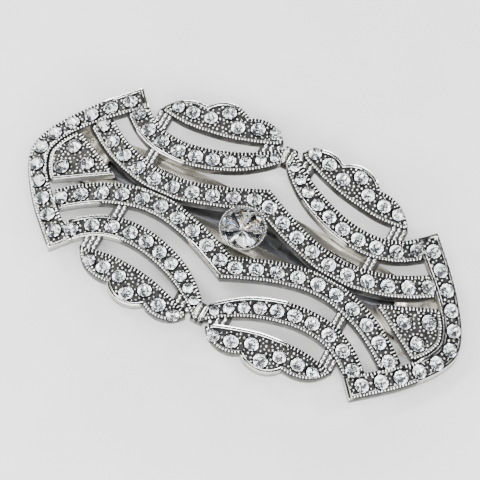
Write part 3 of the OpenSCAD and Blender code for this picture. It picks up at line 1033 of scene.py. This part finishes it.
z0, z1 = ZC + R_BACK + 0.5, CG
prof = [(2.5, z0), (3.05, z0), (3.15, z0 + 0.1), (3.45, z0 + 0.75), (3.50, z0 + 0.86), (3.50, z0 + 0.98),
        (3.58, z0 + 1.08), (4.14, z1 - 0.1), (4.19, z1 - 0.02), (4.21, z1 + 0.1), (4.2, z1 + 0.19),
        (4.16, z1 + 0.24), (4.1, z1 + 0.25), (4.06, z1 + 0.2), (4.06, z1 - 0.02), (3.7, z1 - 0.06)]
collet = lathe("centre_collet", prof, 96, [MAT_RIM], CX, CY,
               [0.9, 0.8, 0.6, 0.6, 0.3, 0.3, 0.8, 0.8, 0.85, 0.8, 0.7, 0.5, 0.7, 0.8, 0.9, 0.9])
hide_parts("center_collet")
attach(collet, "frame")
a = np.arange(54) * math.tau / 54
o = np.stack([CX + 4.12 * np.cos(a), CY + 4.12 * np.sin(a), np.full(54, CG + 0.22)], 1)
b = np.tile(np.diag([0.13, 0.13, 0.15]), (54, 1, 1))
v, f = copies(dv, df, o, b)
crown = build("collet_millgrain", v, f, [MAT_BEAD], smooth=True,
              attrs={"patina_and_shade": np.tile(np.clip(0.7 - dv[:, 2], 0, 1), 54)})
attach(crown, "frame")


# ---------------------------------------------------------------- fitting: eased copies of the CAD parts
def eased(node, name, width, material, body="frame"):
    me = nodes[node].data.copy()
    me.name = name
    bm = bmesh.new()
    bm.from_mesh(me)
    bmesh.ops.remove_doubles(bm, verts=bm.verts, dist=1e-7)
    bmesh.ops.dissolve_limit(bm, angle_limit=math.radians(0.6), verts=bm.verts, edges=bm.edges)
    hard = [e for e in bm.edges if len(e.link_faces) == 2 and e.calc_face_angle(0) > math.radians(32)]
    bmesh.ops.bevel(bm, geom=hard, offset=width * MM, offset_type="OFFSET", segments=2, profile=0.6,
                    affect="EDGES", clamp_overlap=True)
    bmesh.ops.triangulate(bm, faces=[p for p in bm.faces if len(p.verts) > 4])
    bm.to_mesh(me)
    bm.free()
    me.materials.clear()
    me.materials.append(material)
    me.polygons.foreach_set("use_smooth", np.ones(len(me.polygons), bool))
    me.set_sharp_from_angle(angle=math.radians(34))
    ob = bpy.data.objects.new(name, me)
    bpy.context.scene.collection.objects.link(ob)
    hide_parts(node)
    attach(ob, body)
    return ob


eased("base_strip", "barrette_base_strip", 0.1, MAT_NICKEL_SHADE_DARKENED)
eased("mounting_posts", "mounting_post_set", 0.04, MAT_RIVET)
eased("tension_bow", "spring_bow", 0.06, MAT_SPRING_SHADE_DARKENED)
eased("bow_rivets", "bow_rivet_pair", 0.08, MAT_RIVET)
eased("hinge_pin", "hinge_pin_rod", 0.12, MAT_RIVET)
eased("clasp_arm", "clasp_arm_strip", 0.1, MAT_NICKEL_SHADE_DARKENED, "clasp_arm")
eased("catch_bracket", "catch_bracket_shell", 0.08, MAT_NICKEL_SHADE_DARKENED)
eased("catch_rivet", "catch_rivet_head", 0.08, MAT_RIVET)
eased("wing_pins", "wing_pin_pair", 0.06, MAT_RIVET)
eased("release_wing_upper", "squeeze_wing_upper", 0.08, MAT_NICKEL_SHADE_DARKENED, "upper_wing")
eased("release_wing_lower", "squeeze_wing_lower", 0.08, MAT_NICKEL_SHADE_DARKENED, "lower_wing")


# ---------------------------------------------------------------- stage, light, camera
def pale_floor():
    bm = bmesh.new()
    bmesh.ops.create_grid(bm, x_segments=4, y_segments=4, size=0.6)
    me = bpy.data.meshes.new("pale_floor")
    bm.to_mesh(me)
    bm.free()
    ob = bpy.data.objects.new("pale_floor", me)
    ob.location = (0, 0, -0.00002)
    bpy.context.scene.collection.objects.link(ob)
    m, t, b = new_material("pale_paper")
    n = noise(t, coords(t), 60, 4)
    t.links.new(ramp(t, n, [(0.3, (0.60, 0.60, 0.60)), (0.7, (0.64, 0.64, 0.635))]), b.inputs["Base Color"])
    b.inputs["Roughness"].default_value = 0.7
    me.materials.append(m)


pale_floor()

ry, rx, rz = math.radians(2.4), math.radians(-21.9), math.radians(-28.4)
view = Matrix.Rotation(ry, 3, "Y") @ Matrix.Rotation(rx, 3, "X") @ Matrix.Rotation(rz, 3, "Z")
right, up, back_v = view[0].copy(), view[1].copy(), view[2].copy()
centre = (Vector((0, 0, 13)) - 0.872 * right - 1.281 * up) * MM
cam_data = bpy.data.cameras.new("camera")
cam = bpy.data.objects.new("camera", cam_data)
bpy.context.scene.collection.objects.link(cam)
cam.location = centre + back_v * 0.5
cam.rotation_mode = "QUATERNION"
cam.rotation_quaternion = view.transposed().to_quaternion()
cam_data.sensor_width = 36
cam_data.lens = 36 * 500 / 85.4
cam_data.clip_start, cam_data.clip_end = 0.01, 10
bpy.context.scene.camera = cam


def lamp(name, where, size, power, color=(1, 1, 1), aim=(0, 0, 0.01), size_y=None):
    d = bpy.data.lights.new(name, "AREA")
    d.energy = power
    d.color = color
    d.size = size
    if size_y:
        d.shape = "RECTANGLE"
        d.size_y = size_y
    ob = bpy.data.objects.new(name, d)
    ob.location = where
    ob.rotation_mode = "QUATERNION"
    ob.rotation_quaternion = (Vector(aim) - Vector(where)).to_track_quat("-Z", "Y")
    bpy.context.scene.collection.objects.link(ob)


lamp("softbox_front", (0.10, -0.26, 0.66), 0.30, 8.5)
lamp("softbox_back", (-0.20, 0.52, 0.30), 0.80, 5.0, size_y=0.14)
lamp("softbox_key", (-0.36, -0.34, 0.42), 0.20, 4.0)
lamp("softbox_fill", (0.48, -0.16, 0.36), 0.16, 2.4, (0.97, 0.985, 1.0))
lamp("softbox_side", (-0.46, 0.18, 0.30), 0.16, 2.0, (1.0, 0.985, 0.96))
lamp("strip_front", (0.05, -0.52, 0.16), 0.6, 2.2, size_y=0.07)
lamp("sparkle_a", (-0.24, -0.06, 0.60), 0.08, 1.6)
lamp("sparkle_b", (0.30, -0.30, 0.46), 0.09, 1.6)
lamp("sparkle_c", (0.26, 0.10, 0.52), 0.06, 0.8)

world = bpy.data.worlds.new("studio")
bpy.context.scene.world = world
world.use_nodes = True
bg = world.node_tree.nodes.get("Background") or world.node_tree.nodes.new("ShaderNodeBackground")
bg.inputs["Color"].default_value = (0.82, 0.85, 0.9, 1)
bg.inputs["Strength"].default_value = 0.20
